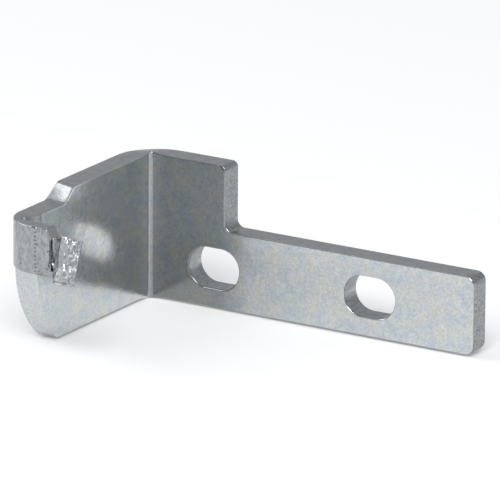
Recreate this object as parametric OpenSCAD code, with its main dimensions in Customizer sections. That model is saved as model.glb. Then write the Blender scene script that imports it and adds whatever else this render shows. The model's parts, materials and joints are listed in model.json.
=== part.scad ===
// Refrigerator hinge bracket: one zinc-plated steel plate, sheared, slotted and bent.
// X runs along the mounting leg, Y towards the wall it is screwed to, and Z is up.
// The origin is the middle of the slot pattern, on the face that lies against the wall.

/* [Plate] */
// Thickness of the steel plate
plate_t = 4; // [3:0.1:5]
// Inside radius of the right-angle bend between the two legs
bend_r = 0.8; // [0.5:0.1:2]
// Outside radius of that bend, where the plate has stretched thinner
bend_outer_r = 6; // [4:0.1:7]

/* [Mounting leg] */
// Length of the mounting leg, from the inside corner of the bend to its end
leg_length = 59; // [54:0.5:90]
// Height of the plate beside the bend
tall_h = 23.4; // [23:0.1:32]
// Length of the high part of the mounting leg, from the inside corner
tall_length = 14; // [8:0.5:30]
// Height of the low arm
arm_h = 12.7; // [11:0.1:16]
// Radius in the inside corner of the step down to the arm
step_fillet_r = 1.3; // [0.5:0.1:3]
// Radius on the top corner of the high part
tall_corner_r = 1.0; // [0.3:0.1:3]
// Radius on the two corners at the arm's end
arm_corner_r = 1.5; // [0.3:0.1:4]

/* [Slots] */
// Width of each slot, a clearance size for an M6 screw
slot_w = 6.6; // [5:0.1:7]
// Overall length of each slot
slot_length = 9.2; // [8:0.1:11]
// Distance between the middles of the two slots
slot_pitch = 28.4; // [20:0.1:34]
// Distance from the inside corner to the middle of the first slot
first_slot_x = 11.9; // [10:0.1:14]

/* [Hook leg] */
// Reach of the hook leg, from the inside corner to its sheared front edge
hook_reach = 33; // [30:0.5:50]
// How far the hook leg's top edge steps down towards the front
hook_drop = 2.2; // [1:0.1:3]
// Distance from the inside corner to the top of that slanted step
hook_step_y = 22.2; // [15:0.1:24]
// Length of the slanted step along the leg
hook_step_run = 2.5; // [1.5:0.1:4]
// Radius in the two corners of the slanted step
hook_step_r = 1.2; // [0.3:0.1:2]
// Radius of the large round on the lower front corner
toe_r = 16.5; // [10:0.5:20]
// Height of the centre of that round above the bottom edge
toe_z = 13; // [8:0.1:13]

/* [Folded strip] */
// Height of the strip that is folded in at the top of the front edge
strip_h = 7.7; // [5:0.1:8]
// Thickness of the strip behind its fold, where it has been pressed thin
strip_t = 2.4; // [1.5:0.1:2.8]
// How far the strip's front face stands in front of the sheared edge
strip_proud = 4.6; // [4:0.1:6]
// Outside radius of the fold
fold_r = 6.2; // [5.2:0.1:6.4]
// Length of the strip beyond the plate's inside face, up to the neck
strip_length = 5.7; // [4:0.1:10]
// Thickness left at the root of the pressed groove
web_t = 1.2; // [0.8:0.1:1.6]
// Radius at the root of the pressed groove
groove_r = 0.95; // [0.5:0.05:1.2]
// Distance from the sheared front edge back to where the groove begins
groove_set = 1.1; // [0.5:0.1:2]

/* [Sheared head] */
// Height of the sheared face at the strip's end
head_h = 7.3; // [5:0.1:9]
// Lean of the sheared face, top edge backwards
head_lean = 20; // [0:1:30]
// Distance from the neck to the middle of the sheared face, along the mounting leg
head_along = 3.9; // [3:0.1:7]
// How far the middle of the sheared face stands in front of the strip's front face
head_proud = 1.4; // [0.8:0.1:4]
// How much lower than the strip the neck is at its top
neck_top_drop = 1.6; // [0.4:0.1:2]
// How much higher than the strip the neck is at its bottom
neck_bottom_rise = 0.9; // [0.4:0.1:2]
// Depth of the full-thickness block behind the sheared face
head_depth = 2; // [0.5:0.1:3]
// Turn of that block, away from straight forwards and along the mounting leg
head_turn = 31; // [0:1:40]
// Upward slope of that block
head_rise = 17; // [0:1:25]
// Radius on the long edges of the sheared head
head_edge_r = 0.5; // [0.2:0.05:0.8]

/* [Hidden] */
$fn = 96;
// Extra length of a cutting shape past the face that it cuts
past = 1;
// Thickness of the two thin end shapes that the head is drawn between
skin = 0.05;
// Number of flats on a full turn of the head's edges
head_flats = 24;

// Heights on the hook leg
low_h = tall_h - hook_drop;
strip_bottom = low_h - strip_h;

// The slanted step: its slope, and how far its corner radii reach along each side
step_slope = atan2(hook_drop, hook_step_run);
step_tangent = hook_step_r * tan(step_slope / 2);

// Heights and places of the slots
slot_z = arm_h / 2;
pattern_x = first_slot_x + slot_pitch / 2;

// The fold seen from above: a round outside with its centre ahead of the front edge
strip_front_y = -hook_reach - strip_proud;
strip_back_y = strip_front_y + strip_t;
fold_x = fold_r - plate_t;
fold_y = strip_front_y + fold_r;

// The groove's root circle touches the strip's back face and leaves the web outside it
root_y = strip_back_y + groove_r;
root_to_fold = fold_r - web_t - groove_r;
root_x = fold_x - sqrt(pow(root_to_fold, 2) - pow(fold_y - root_y, 2));

// The groove's flat wall runs from the plate's inside face to touch the root circle
wall_y = -hook_reach + groove_set;
wall_run = sqrt(pow(root_x, 2) + pow(wall_y - root_y, 2));
wall_turn = atan2(wall_y - root_y, -root_x) + acos(groove_r / wall_run);
touch_x = root_x + groove_r * cos(wall_turn);
touch_y = root_y + groove_r * sin(wall_turn);

// The neck and the sheared face
neck_x = strip_length;
neck_top = low_h - neck_top_drop;
neck_bottom = strip_bottom + neck_bottom_rise;
head_x = neck_x + head_along;
head_y = strip_front_y - head_proud;
head_z = (neck_top + neck_bottom) / 2;

// Takes away what lies outside a rounded corner. At no turn the corner points up and right.
module round_off(x, y, turn, r) {
    translate([x, y])
        rotate(turn)
            difference() {
                translate([-r, -r])
                    square(r + past);
                translate([-r, -r])
                    circle(r);
            }
}

// Fills an inside corner with a fillet. At no turn the open side is up and right.
module fill_in(x, y, turn, r) {
    translate([x, y])
        rotate(turn)
            difference() {
                square(r);
                translate([r, r])
                    circle(r);
            }
}

// A flat outline drawn along X and Z, made solid through the whole depth of the part
module through_depth() {
    translate([0, plate_t + past, 0])
        rotate([90, 0, 0])
            linear_extrude(plate_t + 2 * past + hook_reach)
                children();
}

// A flat outline drawn along the hook leg and Z, made solid through the part's width
module through_width() {
    translate([leg_length + past, 0, 0])
        rotate([90, 0, -90])
            linear_extrude(leg_length + plate_t + 2 * past)
                children();
}

// The two legs and the bend, seen from above
module bent_plan() {
    difference() {
        union() {
            translate([-plate_t, 0])
                square([leg_length + plate_t, plate_t]);
            translate([-plate_t, -hook_reach])
                square([plate_t, hook_reach + plate_t]);
            fill_in(0, 0, -90, bend_r);
        }
        round_off(-plate_t, plate_t, 90, bend_outer_r);
    }
}

// The mounting leg from the front: a high part by the bend, then a step down to the arm
module mounting_leg_outline() {
    difference() {
        union() {
            translate([-plate_t - past, 0])
                square([plate_t + past + tall_length, tall_h]);
            square([leg_length, arm_h]);
            fill_in(tall_length, arm_h, 0, step_fillet_r);
        }
        round_off(tall_length, tall_h, 0, tall_corner_r);
        round_off(leg_length, arm_h, 0, arm_corner_r);
        round_off(leg_length, 0, -90, arm_corner_r);
    }
}

// The sliver between the corner of the slanted step and its radius. It is drawn for the upper
// corner. The lower corner is the same shape turned half round, and is filled in with it.
module step_sliver() {
    difference() {
        polygon([
            [-step_tangent, 0],
            [-step_tangent, past],
            [
                step_tangent * cos(step_slope) + past * sin(step_slope),
                past * cos(step_slope) - step_tangent * sin(step_slope)
            ],
            [step_tangent * cos(step_slope), -step_tangent * sin(step_slope)]
        ]);
        translate([-step_tangent, -hook_step_r])
            circle(hook_step_r);
    }
}

// The hook leg from the side: a slanted step in the top edge and the round at the toe
module hook_leg_outline() {
    back = -plate_t - past;
    difference() {
        union() {
            polygon([
                [back, 0],
                [hook_reach, 0],
                [hook_reach, low_h],
                [hook_step_y + hook_step_run, low_h],
                [hook_step_y, tall_h],
                [back, tall_h]
            ]);
            translate([hook_step_y + hook_step_run, low_h])
                rotate(180)
                    step_sliver();
        }
        translate([hook_step_y, tall_h])
            step_sliver();
        toe_waste();
    }
}

// What the toe's round takes away, below the height of its centre
module toe_waste() {
    difference() {
        translate([hook_reach - toe_r, -past])
            square([toe_r + past, toe_z + past]);
        translate([hook_reach - toe_r, toe_z])
            circle(toe_r);
    }
}

// One slot with round ends, cut right through the plate
module slot(middle_x) {
    straight = slot_length - slot_w;
    translate([middle_x, plate_t + past, slot_z])
        rotate([90, 0, 0])
            linear_extrude(plate_t + 2 * past) {
                square([straight, slot_w], center = true);
                translate([-straight / 2, 0])
                    circle(d = slot_w);
                translate([straight / 2, 0])
                    circle(d = slot_w);
            }
}

// The fold and the strip seen from above, still without the groove
module fold_plan() {
    intersection() {
        translate([fold_x, fold_y])
            circle(fold_r);
        translate([-plate_t, strip_front_y])
            square([plate_t + fold_x, fold_r]);
    }
    translate([fold_x - past, strip_front_y])
        square([neck_x - fold_x + past, strip_t]);
}

// The pressed groove seen from above, open behind the strip and towards the mounting leg
module groove_plan() {
    translate([root_x, root_y])
        circle(groove_r);
    polygon([
        [0, wall_y],
        [touch_x, touch_y],
        [root_x, root_y],
        [root_x, strip_back_y],
        [neck_x + past, strip_back_y],
        [neck_x + past, wall_y]
    ]);
}

// The folded strip, with slanted shoulders where it narrows to the neck
module folded_strip() {
    shoulder = neck_top_drop / 2;
    intersection() {
        translate([0, 0, strip_bottom])
            linear_extrude(strip_h)
                fold_plan();
        translate([0, -hook_reach + past, 0])
            rotate([90, 0, 0])
                linear_extrude(strip_proud + 2 * past)
                    polygon([
                        [-plate_t - past, strip_bottom],
                        [neck_x - shoulder, strip_bottom],
                        [neck_x, neck_bottom],
                        [neck_x, neck_top],
                        [neck_x - shoulder, low_h],
                        [-plate_t - past, low_h]
                    ]);
    }
}

// A thin upright shape with rounded edges, standing across Y
module rounded_skin(w, h, r) {
    rotate([90, 0, 0])
        linear_extrude(skin, center = true)
            hull()
                for (side = [-1, 1], level = [-1, 1])
                    translate([side * (w / 2 - r), level * (h / 2 - r)])
                        circle(r, $fn = head_flats);
}

// The sheared face, or the back of the block when moved back into it by some distance
module head_section(back) {
    translate([
        head_x - back * sin(head_turn) * cos(head_rise),
        head_y + back * cos(head_turn) * cos(head_rise),
        head_z - back * sin(head_rise)
    ])
        rotate([-head_lean, 0, 0])
            rounded_skin(plate_t, head_h, head_edge_r);
}

// The neck widens from the strip's end to a block as thick as the plate, sheared at its front
module sheared_head() {
    hull() {
        head_section(0);
        head_section(head_depth);
        translate([neck_x, (strip_front_y + strip_back_y) / 2, head_z])
            rotate([0, 0, 90])
                rounded_skin(strip_t - 2 * skin, neck_top - neck_bottom, head_edge_r);
    }
}

module hinge_bracket() {
    color("silver")
        translate([-pattern_x, -plate_t, -slot_z])
            union() {
                difference() {
                    union() {
                        intersection() {
                            linear_extrude(tall_h)
                                bent_plan();
                            through_depth()
                                mounting_leg_outline();
                            through_width()
                                hook_leg_outline();
                        }
                        folded_strip();
                    }
                    slot(first_slot_x);
                    slot(first_slot_x + slot_pitch);
                    translate([0, 0, strip_bottom])
                        linear_extrude(strip_h + hook_drop + past)
                            groove_plan();
                }
                sheared_head();
            }
}

hinge_bracket();
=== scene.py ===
import json
import math

import bmesh
import bpy
from mathutils import Matrix, Vector, noise


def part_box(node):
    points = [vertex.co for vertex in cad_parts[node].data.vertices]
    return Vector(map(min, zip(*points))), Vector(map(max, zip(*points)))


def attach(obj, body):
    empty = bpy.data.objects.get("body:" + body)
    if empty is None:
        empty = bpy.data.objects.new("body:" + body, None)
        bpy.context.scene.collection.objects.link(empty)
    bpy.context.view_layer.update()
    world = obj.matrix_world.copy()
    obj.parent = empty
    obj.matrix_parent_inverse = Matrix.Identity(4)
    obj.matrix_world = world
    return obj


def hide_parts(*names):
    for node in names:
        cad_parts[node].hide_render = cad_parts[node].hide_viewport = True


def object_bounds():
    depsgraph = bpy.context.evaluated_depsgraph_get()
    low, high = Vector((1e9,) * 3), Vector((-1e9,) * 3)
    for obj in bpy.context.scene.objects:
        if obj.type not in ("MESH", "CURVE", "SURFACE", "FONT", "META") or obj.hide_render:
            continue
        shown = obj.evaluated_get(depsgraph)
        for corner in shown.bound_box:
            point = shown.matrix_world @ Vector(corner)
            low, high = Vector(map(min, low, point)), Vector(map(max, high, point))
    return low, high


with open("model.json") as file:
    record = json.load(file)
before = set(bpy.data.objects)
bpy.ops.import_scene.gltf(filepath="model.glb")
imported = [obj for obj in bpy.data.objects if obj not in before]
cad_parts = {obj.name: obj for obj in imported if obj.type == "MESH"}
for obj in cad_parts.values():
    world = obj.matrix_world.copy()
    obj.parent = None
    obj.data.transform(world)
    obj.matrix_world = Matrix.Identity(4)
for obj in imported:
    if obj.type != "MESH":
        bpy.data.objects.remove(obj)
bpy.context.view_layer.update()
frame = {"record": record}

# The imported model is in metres. The plate is laid out, bent and finished in millimetres.
MM = 0.001

# The plate and its main bend
PLATE = 4.0
BEND_INSIDE = 0.8
BEND_OUTSIDE = 6.0
low_corner, high_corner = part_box("hinge_bracket")
INSIDE_CORNER = Vector((low_corner.x / MM + PLATE, high_corner.y / MM - PLATE, low_corner.z / MM))

# The mounting leg: a high part beside the bend, then the slotted arm
LEG_END = high_corner.x / MM - INSIDE_CORNER.x
TALL = (high_corner.z - low_corner.z) / MM
TALL_END = 14.0
TALL_CORNER = 1.0
ARM = 12.7
ARM_CORNER = 1.5
STEP_FILLET = 1.3

# The two slots, as the record's mount gives them
screw_slots = next(m for m in frame["record"]["mounts"] if m["name"] == "screw_slots")
SLOT_HALF = screw_slots["dims"]["slot_length_mm"] / 2
SLOT_RADIUS = screw_slots["dims"]["hole_r_mm"]
SLOT_PITCH = screw_slots["dims"]["spacing_x_mm"]
FIRST_SLOT = -INSIDE_CORNER.x - SLOT_PITCH / 2
SECOND_SLOT = FIRST_SLOT + SLOT_PITCH
SLOT_LEVEL = ARM / 2

# The hook leg: its slanted step and the round at its toe
HOOK_REACH = 33.0
LOW = 21.2
STEP_START = 22.2
STEP_RUN = 2.5
STEP_ROUND = 1.2
TOE_RADIUS = 16.5
TOE_LEVEL = 13.0

# The strip that is folded in at the top of the hook leg's front edge
STRIP_BOTTOM = 13.5
STRIP_PROUD = 4.6
STRIP_THICKNESS = 2.4
STRIP_LENGTH = 5.7
FOLD_RADIUS = 6.2
WEB = 1.2
GROOVE_RADIUS = 0.95
GROOVE_SET = 1.1
STRIP_FRONT = -HOOK_REACH - STRIP_PROUD
STRIP_BACK = STRIP_FRONT + STRIP_THICKNESS
FOLD_CENTRE = Vector((FOLD_RADIUS - PLATE, STRIP_FRONT + FOLD_RADIUS))
# The cut that parts the strip's lower edge from the plate below it
SLIT = 0.05

# The sheared head at the strip's end, and the neck that carries it
NECK_TOP_DROP = 1.6
NECK_BOTTOM_RISE = 0.9
HEAD_HEIGHT = 7.3
HEAD_LEAN = math.radians(20)
HEAD_CENTRE = Vector((9.6, -39.0, 17.0))
HEAD_BACK = Vector((-0.985, 1.639, -0.585))

# Edges: the drawn-in side of the blank, and the side where the punch left a fine edge
DRAWN_IN = 0.6
DRAWN_DEPTH = 0.35
FINE_EDGE = 0.2
# How closely the plate's mesh follows its form
ARC_STEP = 0.25
CELL = 0.4
STRIP_CELL = 0.13

# Where the fold starts on the blank, and the lengths of the strip and of the head on it
FOLD_START = -FOLD_CENTRE.y
FOLD_LENGTH = FOLD_RADIUS * math.pi / 2
STRIP_RUN = FOLD_LENGTH + STRIP_LENGTH - FOLD_CENTRE.x
HEAD_RUN = 5.0
TIP = -FOLD_START - STRIP_RUN - HEAD_RUN


def rounded(corners):
    """Points of an outline whose corners are given as place, height and radius."""
    points = []
    for before, here, after in zip(corners[-1:] + corners[:-1], corners, corners[1:] + corners[:1]):
        corner, radius = Vector(here[:2]), here[2]
        if not radius:
            points.append(corner)
            continue
        back = (Vector(before[:2]) - corner).normalized()
        on = (Vector(after[:2]) - corner).normalized()
        half = back.angle(on) / 2
        centre = corner + (back + on).normalized() * radius / math.sin(half)
        first = corner + back * radius / math.tan(half) - centre
        last = corner + on * radius / math.tan(half) - centre
        steps = max(2, math.ceil((math.pi - 2 * half) * radius / ARC_STEP))
        points += [centre + radius * first.slerp(last, i / steps) for i in range(steps + 1)]
    return points


def slot_side(middle, side):
    """Half of a slot, from its lower middle to its upper middle on the left, or back down on the right."""
    low, high = SLOT_LEVEL - SLOT_RADIUS, SLOT_LEVEL + SLOT_RADIUS
    end = middle + side * SLOT_HALF
    corners = [(middle, low, 0), (end, low, SLOT_RADIUS), (end, high, SLOT_RADIUS), (middle, high, 0)]
    return corners if side < 0 else corners[::-1]


def toe():
    """The round at the hook leg's lower front corner, from its upper end down to the bottom edge."""
    centre = -HOOK_REACH + TOE_RADIUS
    lowest = math.asin(TOE_LEVEL / TOE_RADIUS)
    steps = math.ceil(lowest * TOE_RADIUS / ARC_STEP)
    turns = [lowest * i / steps for i in range(steps + 1)]
    return [(centre - TOE_RADIUS * math.cos(t), TOE_LEVEL - TOE_RADIUS * math.sin(t), 0) for t in turns]


def blank_outlines():
    """The flat blank in three pieces that meet at the middle of each slot."""
    hook_side = [
        (FIRST_SLOT, 0, 0),
        *slot_side(FIRST_SLOT, -1),
        (FIRST_SLOT, TALL, 0),
        (-STEP_START, TALL, STEP_ROUND),
        (-STEP_START - STEP_RUN, LOW, STEP_ROUND),
        (TIP, LOW, 0),
        (TIP, STRIP_BOTTOM, 0),
        (-FOLD_START, STRIP_BOTTOM, 0),
        (-FOLD_START, STRIP_BOTTOM - SLIT, 0),
        (-HOOK_REACH, STRIP_BOTTOM - SLIT, 0),
        *toe(),
    ]
    between_slots = [
        (FIRST_SLOT, 0, 0),
        (SECOND_SLOT, 0, 0),
        *slot_side(SECOND_SLOT, -1),
        (SECOND_SLOT, ARM, 0),
        (TALL_END, ARM, STEP_FILLET),
        (TALL_END, TALL, TALL_CORNER),
        (FIRST_SLOT, TALL, 0),
        *slot_side(FIRST_SLOT, 1),
    ]
    arm_end = [
        (SECOND_SLOT, 0, 0),
        (LEG_END, 0, ARM_CORNER),
        (LEG_END, ARM, ARM_CORNER),
        (SECOND_SLOT, ARM, 0),
        *slot_side(SECOND_SLOT, 1),
    ]
    return [hook_side, between_slots, arm_end]


def blank():
    """The flat blank as a solid plate: X along it, Y from its inner face to its outer face, Z up."""
    plate = bmesh.new()
    for outline in blank_outlines():
        plate.faces.new([plate.verts.new((p.x, 0, p.y)) for p in rounded(outline)])
    bmesh.ops.remove_doubles(plate, verts=plate.verts[:], dist=0.01)
    grown = bmesh.ops.extrude_face_region(plate, geom=plate.faces[:])
    moved = [g for g in grown["geom"] if isinstance(g, bmesh.types.BMVert)]
    bmesh.ops.translate(plate, verts=moved, vec=(0, PLATE, 0))
    bmesh.ops.recalc_face_normals(plate, faces=plate.faces[:])
    return plate


def rim(plate, level):
    """The edges between the walls and the face that lies at this depth."""
    found = []
    for edge in plate.edges:
        flat = all(abs(v.co.y - level) < 0.001 for v in edge.verts)
        if flat and len(edge.link_faces) == 2 and edge.calc_face_angle(0) > 0.5:
            found.append(edge)
    return found


def soften_rims(plate):
    """Rolls the drawn-in side of the blank over, and takes the sharpness off the other side."""
    stretch = DRAWN_IN / DRAWN_DEPTH
    for level, size, depth_scale, steps in [
        (PLATE, DRAWN_IN, stretch, 5),
        (0, FINE_EDGE, 1, 3),
    ]:
        bmesh.ops.scale(plate, vec=(1, depth_scale, 1), verts=plate.verts[:])
        bmesh.ops.bevel(
            plate, geom=rim(plate, level * depth_scale), offset=size, offset_type="OFFSET",
            segments=steps, profile=0.5, affect="EDGES", material=-1, clamp_overlap=False,
        )
        bmesh.ops.scale(plate, vec=(1, 1 / depth_scale, 1), verts=plate.verts[:])


def cut(plate, places, direction, within=None):
    """Cuts the plate's mesh across at each place along a direction, all of it or only some of its faces."""
    for place in places:
        if within:
            faces = [f for f in plate.faces if within(f.calc_center_median())]
            around = {e for f in faces for e in f.edges} | {v for f in faces for v in f.verts}
            geom = faces + list(around)
        else:
            geom = plate.verts[:] + plate.edges[:] + plate.faces[:]
        spot = Vector(direction) * place
        bmesh.ops.bisect_plane(plate, geom=geom, dist=0.0005, plane_co=spot, plane_no=direction)


def rows(start, end, step):
    """Evenly spaced places between two ends, both left out."""
    count = max(1, round((end - start) / step))
    return [start + (end - start) * i / count for i in range(1, count)]


def on_strip(point):
    """Whether a point of the blank is on the strip or the head."""
    return point.x < -FOLD_START and point.z > STRIP_BOTTOM - SLIT / 2


def on_head(point):
    return on_strip(point) and point.x < TIP + HEAD_RUN


def cut_cells(plate):
    """Gives the whole plate a grid, finest where it is bent tightest and on the strip."""
    along = (1, 0, 0)
    through = (0, 1, 0)
    up = (0, 0, 1)
    cut(plate, rows(-FOLD_START, -2, CELL) + [-2] + rows(-2, -1, CELL / 2) + [-1], along)
    cut(plate, rows(-1, 1, CELL / 4) + [1] + rows(1, 2, CELL / 2) + [2] + rows(2, LEG_END, CELL), along)
    cut(plate, [-FOLD_START] + rows(-HOOK_REACH, -FOLD_START, CELL), along)
    cut(plate, rows(TIP, -FOLD_START, STRIP_CELL), along, on_strip)
    cut(plate, [-FOLD_START - GROOVE_LIP_RUN], along, on_strip)
    cut(plate, rows(0, TALL, CELL), up)
    cut(plate, rows(STRIP_BOTTOM, LOW, STRIP_CELL), up, on_strip)
    cut(plate, rows(0, PLATE, CELL), through)
    cut(plate, rows(0, PLATE, STRIP_CELL), through, on_head)


def lerp(a, b, share):
    return a + (b - a) * share


def smooth(share):
    """Runs smoothly from 0 to 1 as its share does, and stays there."""
    share = min(1, max(0, share))
    return share * share * (3 - 2 * share)


def hump(distance, width):
    """A smooth bump of height 1 at no distance."""
    return math.exp(-(distance / width) ** 2)


def along_line(level, points):
    """Reads a line drawn through points of (level, value), given from the highest level down."""
    if level >= points[0][0]:
        return points[0][1]
    for (high, first), (low, last) in zip(points, points[1:]):
        if level >= low:
            return lerp(last, first, (level - low) / (high - low))
    return points[-1][1]


# The groove's wall and root, seen from above
ROOT_LEVEL = STRIP_BACK + GROOVE_RADIUS
ROOT_REACH = FOLD_RADIUS - WEB - GROOVE_RADIUS
ROOT_SIDE = math.sqrt(ROOT_REACH ** 2 - (FOLD_CENTRE.y - ROOT_LEVEL) ** 2)
ROOT_CENTRE = Vector((FOLD_CENTRE.x - ROOT_SIDE, ROOT_LEVEL))
GROOVE_LIP = Vector((0, -HOOK_REACH + GROOVE_SET))
LIP_TO_ROOT = GROOVE_LIP - ROOT_CENTRE
TOUCH_TURN = math.atan2(LIP_TO_ROOT.y, LIP_TO_ROOT.x) + math.acos(GROOVE_RADIUS / LIP_TO_ROOT.length)
GROOVE_TOUCH = ROOT_CENTRE + GROOVE_RADIUS * Vector((math.cos(TOUCH_TURN), math.sin(TOUCH_TURN)))


def fold_turn(point):
    """How far round the fold a point lies, as an angle from the fold's start."""
    return math.atan2(FOLD_CENTRE.y - point.y, FOLD_CENTRE.x - point.x)


LIP_TURN = fold_turn(GROOVE_LIP)
TOUCH_END = fold_turn(GROOVE_TOUCH)
ROOT_END = fold_turn(Vector((ROOT_CENTRE.x, STRIP_BACK)))
GROOVE_LIP_RUN = LIP_TURN * FOLD_RADIUS


def inner_radius(turn):
    """Distance of the fold's inner face from the fold's centre, at an angle from the fold's start."""
    towards = Vector((-math.cos(turn), -math.sin(turn)))
    if turn <= LIP_TURN:
        return FOLD_CENTRE.x / math.cos(turn)
    if turn <= TOUCH_END:
        wall = GROOVE_TOUCH - GROOVE_LIP
        return (GROOVE_LIP - FOLD_CENTRE).cross(wall) / towards.cross(wall)
    if turn <= ROOT_END:
        side = (ROOT_CENTRE - FOLD_CENTRE).cross(towards)
        ahead = (ROOT_CENTRE - FOLD_CENTRE).dot(towards)
        return ahead + math.sqrt(GROOVE_RADIUS ** 2 - side ** 2)
    return (FOLD_CENTRE.y - STRIP_BACK) / math.sin(turn)


def bend_plan(run, depth):
    """Where a point of the blank lies after the main bend, seen from above, at a share of the depth."""
    if run > 0:
        inner, outer = Vector((run, 0)), Vector((run, PLATE))
    else:
        inner, outer = Vector((0, run)), Vector((-PLATE, run))
    if abs(run) < BEND_INSIDE:
        turn = (BEND_INSIDE - run) / (2 * BEND_INSIDE) * math.pi / 2
        centre = Vector((BEND_INSIDE, -BEND_INSIDE))
        inner = centre + BEND_INSIDE * Vector((-math.sin(turn), math.cos(turn)))
    reach = BEND_OUTSIDE - PLATE
    if abs(run) < reach:
        turn = (reach - run) / (2 * reach) * math.pi / 2
        centre = Vector((reach, -reach))
        outer = centre + BEND_OUTSIDE * Vector((-math.sin(turn), math.cos(turn)))
    return inner.lerp(outer, depth)


# At the bend the inner side is squeezed out at the plate's edges and the outer side is drawn in
SQUEEZED_TOP = 0.3
SQUEEZED_BOTTOM = 0.45
DRAWN_AT_BEND = 0.3
SQUEEZE_SPREAD = 1.8
SQUEEZE_HEIGHT = 2.5
# At the slanted step the outer side was drawn along more than the inner side
STEP_DRAG = 1.3
STEP_DRAG_HEIGHT = 3.5
STEP_DRAG_LENGTH = 5.0


def squeeze(point, depth):
    """How far a point of the bend's edge is pushed up or down."""
    near = hump(point.x, SQUEEZE_SPREAD)
    top = smooth((point.z - TALL + SQUEEZE_HEIGHT) / SQUEEZE_HEIGHT)
    bottom = smooth((SQUEEZE_HEIGHT - point.z) / SQUEEZE_HEIGHT)
    rise = top * lerp(SQUEEZED_TOP, -DRAWN_AT_BEND, depth)
    return near * (rise - bottom * lerp(SQUEEZED_BOTTOM, -DRAWN_AT_BEND, depth))


def drag_step(point, depth):
    """How far a point near the slanted step is dragged towards the bend."""
    level = smooth((point.z - TALL + STEP_DRAG_HEIGHT) / STEP_DRAG_HEIGHT)
    near = hump(point.x + STEP_START + STEP_RUN / 2, STEP_DRAG_LENGTH)
    return STEP_DRAG * level * near * depth


def fold_plan(run, depth):
    """The same for the strip, with the distance from the start of its fold."""
    if run < FOLD_LENGTH:
        turn = run / FOLD_RADIUS
        towards = Vector((-math.cos(turn), -math.sin(turn)))
        return FOLD_CENTRE + towards * lerp(inner_radius(turn), FOLD_RADIUS, depth)
    return Vector((FOLD_CENTRE.x + run - FOLD_LENGTH, lerp(STRIP_BACK, STRIP_FRONT, depth)))


STRIP_MIDDLE = (STRIP_BOTTOM + LOW) / 2
STRIP_HALF = (LOW - STRIP_BOTTOM) / 2
NECK_TOP = LOW - NECK_TOP_DROP
NECK_BOTTOM = STRIP_BOTTOM + NECK_BOTTOM_RISE
# How far back the neck's front lies behind the strip's front, and over what length it steps back
NECK_RECESS = 0.5
NECK_STEP = 0.3
HEAD_TURN_RUN = 3.2
# How deep the head's left edge is cut in above its foot, and where
WAIST = 0.5
WAIST_LEVEL = -0.9
WAIST_SPREAD = 1.3


def head_place(run, across, up):
    """Where a point of the neck or the head lies. Across runs from the outer to the inner face, up from
    the lower to the upper edge, each from -1 to 1."""
    neck_half = (NECK_TOP - NECK_BOTTOM) / 2
    back = smooth(run / NECK_STEP) * NECK_RECESS / 2
    neck = (
        Vector((STRIP_LENGTH, (STRIP_FRONT + STRIP_BACK) / 2 + back, (NECK_TOP + NECK_BOTTOM) / 2)),
        Vector((0, STRIP_THICKNESS / 2 - back, 0)),
        Vector((0, 0, neck_half)),
    )
    tall = Vector((0, math.sin(HEAD_LEAN), math.cos(HEAD_LEAN))) * HEAD_HEIGHT / 2
    waist = WAIST / 2 * hump(up * HEAD_HEIGHT / 2 - WAIST_LEVEL, WAIST_SPREAD)
    block = (HEAD_CENTRE + HEAD_BACK + Vector((waist, 0, 0)), Vector((PLATE / 2 - waist, 0, 0)), tall)
    face = (HEAD_CENTRE + Vector((waist, 0, 0)), Vector((PLATE / 2 - waist, 0, 0)), tall)
    if run < HEAD_TURN_RUN:
        share = run / HEAD_TURN_RUN
        centre, side, rise = [a.lerp(b, smooth(share)) for a, b in zip(neck, block)]
    else:
        share = (run - HEAD_TURN_RUN) / (HEAD_RUN - HEAD_TURN_RUN)
        centre, side, rise = [a.lerp(b, share) for a, b in zip(block, face)]
    return centre + across * side + up * rise


# The strip's edges are drawn in less than the rest of the blank's
STRIP_EDGE_SHARE = 0.5


def strip_level(z):
    """A height on the blank's strip as a share from -1 to 1, with its rounded edges made narrower."""
    off_edge = STRIP_HALF - abs(z - STRIP_MIDDLE)
    kept = DRAWN_IN * STRIP_EDGE_SHARE
    if off_edge < DRAWN_IN:
        off_edge *= STRIP_EDGE_SHARE
    else:
        off_edge = lerp(kept, STRIP_HALF, (off_edge - DRAWN_IN) / (STRIP_HALF - DRAWN_IN))
    return math.copysign(1 - off_edge / STRIP_HALF, z - STRIP_MIDDLE)


def bent(point):
    """Where a point of the flat blank lies in the finished bracket, from the inside corner of the bend."""
    depth = point.y / PLATE
    if not on_strip(point):
        plan = bend_plan(point.x + drag_step(point, depth), depth)
        return Vector((plan.x, plan.y, point.z + squeeze(point, depth)))
    run = -FOLD_START - point.x
    up = strip_level(point.z)
    if run > STRIP_RUN:
        return head_place(run - STRIP_RUN, 1 - 2 * depth, up)
    plan = fold_plan(run, depth)
    shoulder = max(0, 1 - (STRIP_RUN - run) / (NECK_TOP_DROP / 2))
    top = LOW - shoulder * NECK_TOP_DROP
    bottom = STRIP_BOTTOM + shoulder * NECK_BOTTOM_RISE
    return Vector((plan.x, plan.y, lerp(bottom, top, (up + 1) / 2)))


# The finishes, in the order of the piece's material slots
FINISHES = ["rolled", "sheared", "torn", "punched", "toe_cut", "pressed", "snapped"]


def in_slot(point):
    """Whether a point of the blank is on the wall of either slot."""
    middle = FIRST_SLOT if point.x < (FIRST_SLOT + SECOND_SLOT) / 2 else SECOND_SLOT
    return abs(point.x - middle) < SLOT_HALF + 0.1 and abs(point.z - SLOT_LEVEL) < SLOT_RADIUS + 0.1


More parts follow.
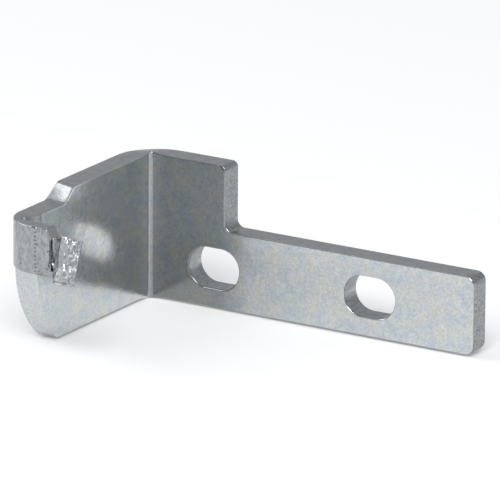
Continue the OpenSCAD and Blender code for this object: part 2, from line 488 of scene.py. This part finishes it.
def finish_of(face):
    """Which finish a face of the blank gets, from where it is and which way it looks."""
    point = face.calc_center_median()
    if abs(face.normal.y) > 0.6:
        return "pressed" if on_strip(point) else "rolled"
    if point.x < TIP + 0.1:
        return "snapped"
    if on_strip(point):
        return "sheared"
    if in_slot(point):
        return "punched"
    if point.x < -HOOK_REACH + TOE_RADIUS and face.normal.x < -0.5:
        return "toe_cut"
    if face.normal.x > 0.5:
        return "torn"
    return "sheared"


# Where the strip's front is marked by the press: its distance along the strip, and its height
CREASE_LINE = [(20.6, 5.9), (14.7, 7.4)]
FACET_LINE = [(20.4, 9.6), (16.0, 8.3)]
TEETH_RUN = 10.4
TOOTH = 0.63
ROUGH_START = 10.6
NECK_CREASE_LINE = [(20.0, 13.2), (19.3, 12.95), (15.9, 12.95), (14.8, 12.7)]
# The dent on the neck, along it from the strip's end
DENT_RUN = 0.75
DENT_LEVEL = 16.1
DENT_RADIUS = 0.75


def grain(point, size):
    """Random unevenness between about -1 and 1, at a given size."""
    return noise.noise(point / size)


def strip_relief(run, level, place):
    """How far the strip's front stands out at a place, as the press left it."""
    off_crease = run - along_line(level, CREASE_LINE)
    marked = smooth((level - 14.4) / 0.5) * smooth((20.9 - level) / 0.5)
    height = marked * (0.05 * hump(off_crease - 0.35, 0.16) - 0.14 * hump(off_crease, 0.17))
    hollow = smooth(off_crease / 0.6) * smooth((along_line(level, FACET_LINE) - run) / 0.25)
    height -= 0.07 * hollow
    past_teeth = smooth((run - TEETH_RUN) / 0.25)
    tooth = abs((level / TOOTH) % 1 - 0.5) * 2
    height += 0.13 * hump(run - TEETH_RUN, 0.2) * (tooth - 0.4)
    height -= 0.12 * past_teeth
    height += 0.07 * past_teeth * grain(place, 0.5)
    height -= 0.3 * hump(run - along_line(level, NECK_CREASE_LINE), 0.14) * smooth((level - 14.6) / 0.4)
    return height


def neck_relief(run, level):
    """How far the neck's front stands out, with its dent and the dent's rim."""
    off_dent = math.hypot(run - DENT_RUN, (level - DENT_LEVEL) * 0.8) / DENT_RADIUS
    dent = -0.22 * smooth((1 - off_dent) / 0.35)
    return dent + 0.1 * hump(off_dent - 1.05, 0.16)


# The sheared face of the head: where its smooth band ends, and the ridge in its torn part
BAND_EDGE = [(3.6, -1.0), (2.9, -0.65), (-0.1, -0.9), (-1.8, -0.54), (-3.2, -0.5)]
RIDGE_LINE = [(2.4, 0.57), (0.5, 0.45), (-1.9, 0.76)]
FACE_LOWER_EDGE = -2.9


def snapped_relief(across, up, place):
    """How far the head's sheared face stands out: smooth on its left, torn on its right."""
    torn = smooth((across - along_line(up, BAND_EDGE)) / 0.15)
    height = 0.22 * (1 - torn) * (across + 2) / 1.3
    stretched = Vector((place.x, place.y, place.z / 2.5))
    height += torn * (0.1 * grain(stretched, 0.35) + 0.1 * grain(stretched, 0.8))
    off_ridge = across - along_line(up, RIDGE_LINE) - 0.12 * math.sin(up * 3)
    height += torn * (0.12 * hump(off_ridge + 0.22, 0.15) - 0.22 * hump(off_ridge, 0.16))
    height -= 0.5 * smooth((FACE_LOWER_EDGE - up) / 0.7)
    return height


# How rough the walls are where the steel tore
TORN_DEPTH = 0.05
TORN_GRAIN = 0.35


def relief(spot, place, finishes):
    """How far a point of the finished surface stands out, from its place on the blank and its finishes."""
    if finishes == {"pressed"} and spot.y > PLATE / 2:
        run = -FOLD_START - spot.x
        if run < STRIP_RUN:
            return strip_relief(run, place.z, place)
        return neck_relief(run - STRIP_RUN, place.z)
    if finishes == {"snapped"}:
        across = (1 - 2 * spot.y / PLATE) * PLATE / 2
        return snapped_relief(across, strip_level(spot.z) * HEAD_HEIGHT / 2, place)
    if finishes == {"torn"}:
        return TORN_DEPTH * grain(place, TORN_GRAIN)
    return 0


def make_bracket():
    """The whole bracket as one piece: the blank is laid out, rounded, bent, pressed and torn."""
    plate = blank()
    soften_rims(plate)
    cut_cells(plate)
    for face in plate.faces:
        face.smooth = True
        face.material_index = FINISHES.index(finish_of(face))
    where = plate.verts.layers.float_vector.new("blank")
    spots = {}
    for vert in plate.verts:
        spots[vert] = vert.co.copy()
        vert[where] = vert.co * MM
    for vert in plate.verts:
        vert.co = bent(vert.co)
    plate.normal_update()
    moves = {}
    for vert in plate.verts:
        finishes = {FINISHES[f.material_index] for f in vert.link_faces}
        moves[vert] = relief(spots[vert], vert.co, finishes) * vert.normal
    for vert, move in moves.items():
        vert.co = (INSIDE_CORNER + vert.co + move) * MM
    bmesh.ops.triangulate(plate, faces=plate.faces[:], quad_method="BEAUTY", ngon_method="BEAUTY")
    mesh = bpy.data.meshes.new("pressed_bracket")
    plate.to_mesh(mesh)
    plate.free()
    mesh.set_sharp_from_angle(angle=math.radians(50))
    piece = bpy.data.objects.new("pressed_bracket", mesh)
    bpy.context.scene.collection.objects.link(piece)
    return piece


class Recipe:
    """The node tree of one metal, written a step at a time."""

    def __init__(self, name):
        self.material = bpy.data.materials.new(name)
        self.material.use_nodes = True
        self.tree = self.material.node_tree
        self.shader = self.tree.nodes["Principled BSDF"]
        self.place = self.node("ShaderNodeTexCoord").outputs["Object"]
        self.blank = self.node("ShaderNodeAttribute", attribute_name="blank").outputs["Vector"]

    def node(self, kind, inputs=(), **settings):
        made = self.tree.nodes.new(kind)
        for name, value in settings.items():
            setattr(made, name, value)
        for name, value in dict(inputs).items():
            self.put(value, made.inputs[name])
        return made

    def put(self, value, socket):
        """Links an output to a socket, or sets the socket to a number or a colour."""
        if isinstance(value, bpy.types.NodeSocket):
            self.tree.links.new(value, socket)
        else:
            socket.default_value = value

    def maths(self, operation, a, b=0.0):
        return self.node("ShaderNodeMath", {0: a, 1: b}, operation=operation).outputs[0]

    def band(self, value, start, end, low=0.0, high=1.0):
        """Runs from low to high as a value runs from start to end."""
        inputs = {"Value": value, "From Min": start, "From Max": end, "To Min": low, "To Max": high}
        return self.node("ShaderNodeMapRange", inputs).outputs[0]

    def grain(self, size, detail=3.0, stretch=(1, 1, 1), source=None):
        """Even noise of a given size in millimetres, stretched along the axes given."""
        vector = source or self.place
        if stretch != (1, 1, 1):
            shrink = tuple(1 / s for s in stretch)
            inputs = {"Vector": vector, "Scale": shrink}
            vector = self.node("ShaderNodeMapping", inputs).outputs[0]
        inputs = {"Vector": vector, "Scale": 1 / (size * MM), "Detail": detail, "Roughness": 0.6}
        return self.node("ShaderNodeTexNoise", inputs).outputs["Fac"]

    def ramp(self, value, stops):
        """A colour ramp through (place, colour) stops."""
        made = self.node("ShaderNodeValToRGB", {"Fac": value})
        ramp = made.color_ramp
        while len(ramp.elements) < len(stops):
            ramp.elements.new(0.5)
        for element, (place, colour) in zip(ramp.elements, stops):
            element.position = place
            element.color = (*colour, 1)
        return made.outputs["Color"]

    def mix(self, share, first, second, how="MIX"):
        made = self.node("ShaderNodeMix", data_type="RGBA", blend_type=how, clamp_result=False)
        self.put(share, made.inputs[0])
        self.put(first, made.inputs[6])
        self.put(second, made.inputs[7])
        return made.outputs[2]

    def bump(self, height, depth, under=None):
        """Raises the surface by a height from 0 to 1, at a depth in millimetres."""
        inputs = {"Height": height, "Distance": depth * MM, "Strength": 1.0}
        if under:
            inputs["Normal"] = under
        return self.node("ShaderNodeBump", inputs).outputs["Normal"]

    def finish(self, colour, roughness, normal):
        self.put(colour, self.shader.inputs["Base Color"])
        self.put(roughness, self.shader.inputs["Roughness"])
        self.put(normal, self.shader.inputs["Normal"])
        self.shader.inputs["Metallic"].default_value = 1.0
        return self.material


def grey(value):
    """The cool grey of zinc at a given lightness."""
    return (value * 0.955, value, value * 1.02)


# The inner face's tone along it, with painted shade that darkens it beside the bend, standing in for the dim
# reflections of the inside corner: its distance from the bend in millimetres, and its lightness
INNER_TONES_AND_PAINTED_SHADE = [(-34, 0.66), (-1.0, 0.66), (-0.2, 0.42), (0.6, 0.3), (3, 0.25), (13, 0.29), (19, 0.5), (30, 0.57), (60, 0.6)]
TONE_START, TONE_END = -34.0, 60.0
OUTER_TONE = 0.58


def rolled_zinc_painted_shade():
    """The plated faces of the plate: cool and bright and mottled, with painted shade that darkens the inner face
    beside the bend.
    """
    metal = Recipe("rolled_zinc_painted_shade")
    split = metal.node("ShaderNodeSeparateXYZ", {"Vector": metal.blank})
    along = metal.band(split.outputs["X"], TONE_START * MM, TONE_END * MM)
    stops = [((s - TONE_START) / (TONE_END - TONE_START), grey(tone)) for s, tone in INNER_TONES_AND_PAINTED_SHADE]
    # Painted shade: this tone ramp darkens the inner face beside the bend and along the tall part, where the inside
    # corner's reflections are dim
    inner = metal.ramp(along, stops)
    outside = metal.band(split.outputs["Y"], 1.5 * MM, 2.5 * MM)
    colour = metal.mix(outside, inner, (*grey(OUTER_TONE), 1))
    patches = metal.ramp(metal.grain(2.2, 4), [(0.38, (0.9, 0.95, 1.0)), (0.5, (1, 1, 1)), (0.62, (1.04, 1.02, 0.93))])
    colour = metal.mix(1.0, colour, patches, "MULTIPLY")
    speckle = metal.ramp(metal.grain(0.35, 5), [(0.35, (0.86,) * 3), (0.65, (1.1,) * 3)])
    colour = metal.mix(1.0, colour, speckle, "MULTIPLY")
    roughness = metal.band(metal.grain(0.8, 4), 0.3, 0.7, 0.12, 0.22)
    normal = metal.bump(metal.grain(0.5, 4), 0.006)
    normal = metal.bump(metal.grain(6.0, 2), 0.05, normal)
    return metal.finish(colour, roughness, normal)


def worked_zinc(name, tone, contrast, size, stretch, roughness, depth):
    """An edge or face that was cut, pressed or torn, with its grain drawn out along the tool's way."""
    metal = Recipe(name)
    streaks = metal.grain(size, 5, stretch)
    low, high = grey(tone * (1 - contrast)), grey(tone * (1 + contrast))
    colour = metal.ramp(streaks, [(0.3, low), (0.7, high)])
    rough = metal.band(metal.grain(size * 2, 4, stretch), 0.3, 0.7, roughness - 0.06, roughness + 0.1)
    return metal.finish(colour, rough, metal.bump(streaks, depth))


def make_finishes():
    """One material for each finish, in the order of FINISHES."""
    return [
        rolled_zinc_painted_shade(),
        worked_zinc("sheared_zinc", 0.46, 0.15, 0.4, (3, 3, 1), 0.3, 0.01),
        worked_zinc("torn_zinc", 0.36, 0.5, 0.3, (1, 1, 1), 0.42, 0.08),
        worked_zinc("punched_zinc", 0.4, 0.3, 0.4, (1, 4, 1), 0.3, 0.02),
        worked_zinc("toe_cut_zinc", 0.58, 0.2, 0.3, (1, 3, 1), 0.3, 0.03),
        worked_zinc("pressed_zinc", 0.36, 0.3, 0.4, (1, 1, 2), 0.22, 0.02),
        worked_zinc("snapped_steel", 0.5, 0.3, 0.25, (1, 1, 2), 0.3, 0.04),
    ]


# The camera stands where the photographer stood, far off with a long lens
CAMERA_TURN = 0.549469
CAMERA_RISE = 0.294552
CAMERA_ROLL = 0.00708007
CAMERA_DISTANCE = 1310.283
CAMERA_TARGET = Vector((20, -5, 12))
FOCAL_LENGTH = 605.206
SENSOR = 36.0
SIDE_SHIFT = 0.017656


def make_camera():
    turn, rise, roll = CAMERA_TURN, CAMERA_RISE, CAMERA_ROLL
    back = Vector((math.sin(turn) * math.cos(rise), -math.cos(turn) * math.cos(rise), math.sin(rise)))
    level = Vector((math.cos(turn), math.sin(turn), 0))
    up = back.cross(level)
    right = level * math.cos(roll) + up * math.sin(roll)
    top = -level * math.sin(roll) + up * math.cos(roll)
    data = bpy.data.cameras.new("camera")
    data.sensor_width = SENSOR
    data.lens = FOCAL_LENGTH
    data.shift_x = SIDE_SHIFT
    data.clip_start, data.clip_end = 0.1, 20
    camera = bpy.data.objects.new("camera", data)
    place = (INSIDE_CORNER + CAMERA_TARGET + back * CAMERA_DISTANCE) * MM
    camera.matrix_world = Matrix.Translation(place) @ Matrix((right, top, back)).transposed().to_4x4()
    bpy.context.scene.collection.objects.link(camera)
    bpy.context.scene.camera = camera


FLOOR_COLOUR = 0.82
FLOOR_LIFT = 0.18


def make_floor(level):
    """A plain white floor. The eye and the metal see it lifted to white, and it keeps the shadow."""
    ground = bmesh.new()
    bmesh.ops.create_grid(ground, x_segments=1, y_segments=1, size=3)
    bmesh.ops.translate(ground, verts=ground.verts[:], vec=(0, 0, level))
    mesh = bpy.data.meshes.new("floor")
    ground.to_mesh(mesh)
    ground.free()
    floor = bpy.data.objects.new("floor", mesh)
    bpy.context.scene.collection.objects.link(floor)
    material = bpy.data.materials.new("floor")
    material.use_nodes = True
    tree = material.node_tree
    shader = tree.nodes["Principled BSDF"]
    shader.inputs["Base Color"].default_value = (FLOOR_COLOUR, FLOOR_COLOUR, FLOOR_COLOUR, 1)
    shader.inputs["Roughness"].default_value = 0.9
    shader.inputs["Specular IOR Level"].default_value = 0
    shader.inputs["Emission Color"].default_value = (1, 1, 1, 1)
    rays = tree.nodes.new("ShaderNodeLightPath")
    either = tree.nodes.new("ShaderNodeMath")
    either.operation = "MAXIMUM"
    seen = tree.nodes.new("ShaderNodeMath")
    seen.operation = "MULTIPLY"
    seen.inputs[1].default_value = FLOOR_LIFT
    tree.links.new(rays.outputs["Is Camera Ray"], either.inputs[0])
    tree.links.new(rays.outputs["Is Glossy Ray"], either.inputs[1])
    tree.links.new(either.outputs[0], seen.inputs[0])
    tree.links.new(seen.outputs[0], shader.inputs["Emission Strength"])
    mesh.materials.append(material)


def soft_box(name, place, aim, size, power):
    data = bpy.data.lights.new(name, "AREA")
    data.shape = "RECTANGLE"
    data.size, data.size_y = size
    data.energy = power
    lamp = bpy.data.objects.new(name, data)
    lamp.location = place
    lamp.rotation_mode = "QUATERNION"
    lamp.rotation_quaternion = (Vector(aim) - Vector(place)).to_track_quat("-Z", "Y")
    bpy.context.scene.collection.objects.link(lamp)


def make_light():
    world = bpy.data.worlds.new("studio")
    world.use_nodes = True
    world.node_tree.nodes["Background"].inputs["Color"].default_value = (0.75, 0.76, 0.78, 1)
    world.node_tree.nodes["Background"].inputs["Strength"].default_value = 0.6
    bpy.context.scene.world = world
    soft_box("key", (0.5, -0.9, 1.0), (0, 0, 0), (0.9, 0.7), 14)
    soft_box("fill", (-0.9, -0.3, 0.6), (0, 0, 0), (0.7, 0.7), 4)


bracket = make_bracket()
for finish in make_finishes():
    bracket.data.materials.append(finish)
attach(bracket, "root")
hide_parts("hinge_bracket")
make_camera()
make_light()
seen_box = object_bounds()
make_floor(seen_box[0].z)

bpy.context.scene.view_settings.view_transform = "Standard"
